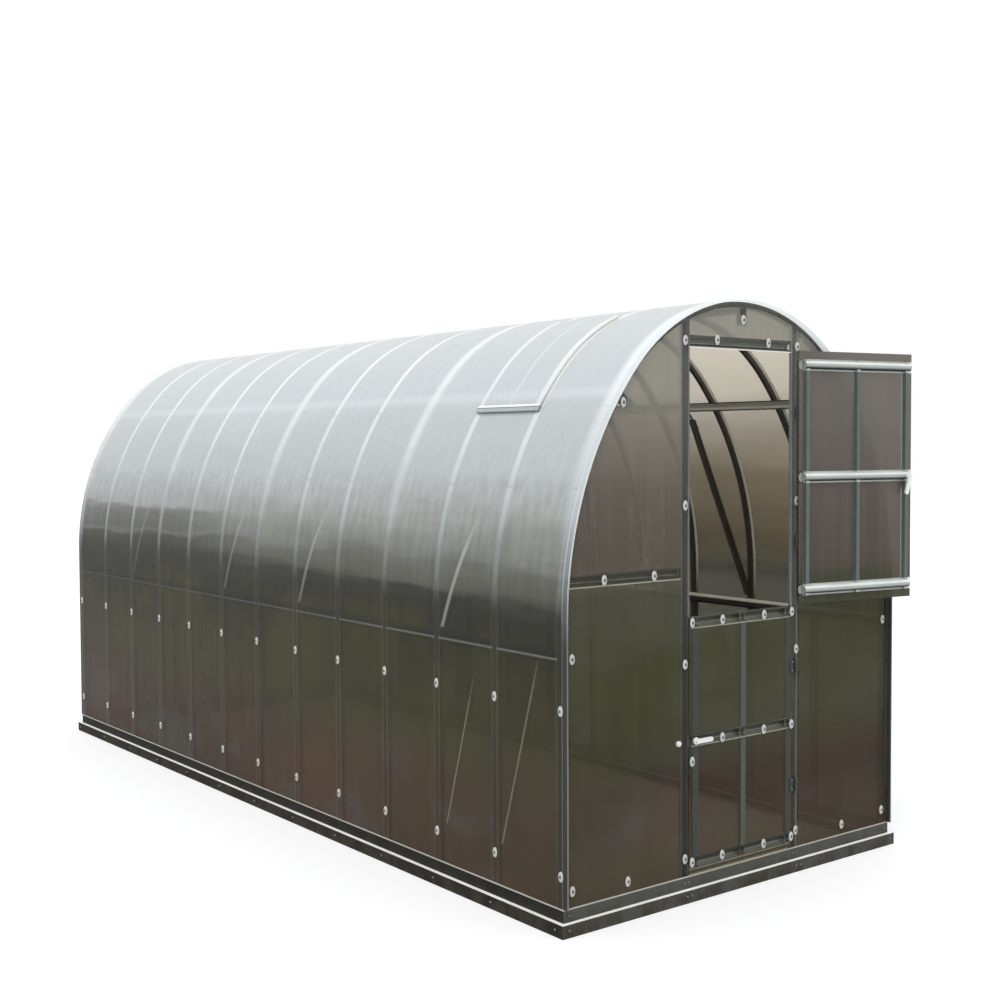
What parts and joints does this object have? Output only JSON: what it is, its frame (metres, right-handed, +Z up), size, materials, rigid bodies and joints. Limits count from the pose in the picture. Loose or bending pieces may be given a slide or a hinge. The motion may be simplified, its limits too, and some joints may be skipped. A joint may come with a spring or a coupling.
{
  "type": "polycarbonate greenhouse",
  "caption": "Arched walk-in greenhouse: galvanised hat-profile frame under twin-wall sheets, with a double base profile, a two-part door and a roof vent",
  "frame": {"origin": "on the ground, at mid-width under the front sill", "axes": "+X right seen from the door, +Y from the door along the house, +Z up"},
  "size_m": [1.756, 4.4068, 2.1378],
  "materials": {
    "frame_steel": "galvanised rolled steel, dulled",
    "base_steel": "galvanised rolled steel, weathered and dusty",
    "bright_steel": "fresh galvanised steel",
    "sheet": "smoke-tinted twin-wall polycarbonate, clear to milky",
    "white_plastic": "moulded white plastic"
  },
  "bodies": {
    "house": {"foundation_front": "base_steel", "foundation_rear": "base_steel", "foundation_left": "base_steel", "foundation_right": "base_steel", "base_rail_front": "base_steel", "base_rail_rear": "base_steel", "base_rail_left": "base_steel", "base_rail_right": "base_steel", "arch_00": "frame_steel", "arch_01": "frame_steel", "arch_02": "frame_steel", "arch_03": "frame_steel", "arch_04": "frame_steel", "arch_05": "frame_steel", "arch_06": "frame_steel", "arch_07": "frame_steel", "arch_08": "frame_steel", "arch_09": "frame_steel", "arch_10": "frame_steel", "arch_11": "frame_steel", "arch_12": "frame_steel", "door_posts": "frame_steel", "door_header": "frame_steel", "gable_brackets": "frame_steel", "front_rails": "frame_steel", "rear_posts": "frame_steel", "rear_rails": "frame_steel", "ridge_purlin": "frame_steel", "upper_purlins": "frame_steel", "lower_purlins": "frame_steel", "braces_left": "bright_steel", "braces_right": "bright_steel", "vent_frame": "bright_steel", "post_hinges": "bright_steel", "front_sheet_left": "sheet", "front_sheet_right": "sheet", "front_sheet_top": "sheet", "rear_sheet": "sheet", "vent_sheet": "sheet", "roof_sheet_1": "sheet", "roof_sheet_2": "sheet", "roof_sheet_3": "sheet", "roof_sheet_4": "sheet", "latch_keep": "white_plastic"},
    "lower_leaf": {"lower_leaf_frame": "bright_steel", "lower_leaf_sheet": "sheet", "lower_leaf_hinges": "bright_steel"},
    "upper_leaf": {"upper_leaf_frame": "bright_steel", "upper_leaf_sheet": "sheet", "upper_leaf_hinges": "bright_steel"},
    "lower_lever": {"lower_handle": "white_plastic"},
    "upper_lever": {"upper_handle": "white_plastic"}
  },
  "joints": [
    {"name": "lower_leaf_hinge", "type": "hinge", "parent": "house", "child": "lower_leaf", "pos_m": [0.282, -0.0295, 0.5], "axis": [0, 0, 1], "range_deg": [0, 170]},
    {"name": "upper_leaf_hinge", "type": "hinge", "parent": "house", "child": "upper_leaf", "pos_m": [0.282, -0.0295, 1.5], "axis": [0, 0, 1], "range_deg": [-170, 2]},
    {"name": "lower_handle_turn", "type": "hinge", "parent": "lower_leaf", "child": "lower_lever", "pos_m": [-0.247, -0.0235, 0.569], "axis": [0, 1, 0], "range_deg": [0, 90]},
    {"name": "upper_handle_turn", "type": "hinge", "parent": "upper_leaf", "child": "upper_lever", "pos_m": [0.80192, -0.12727, 1.494], "axis": [-0.1736, -0.9848, 0], "range_deg": [-75, 15]}
  ]
}
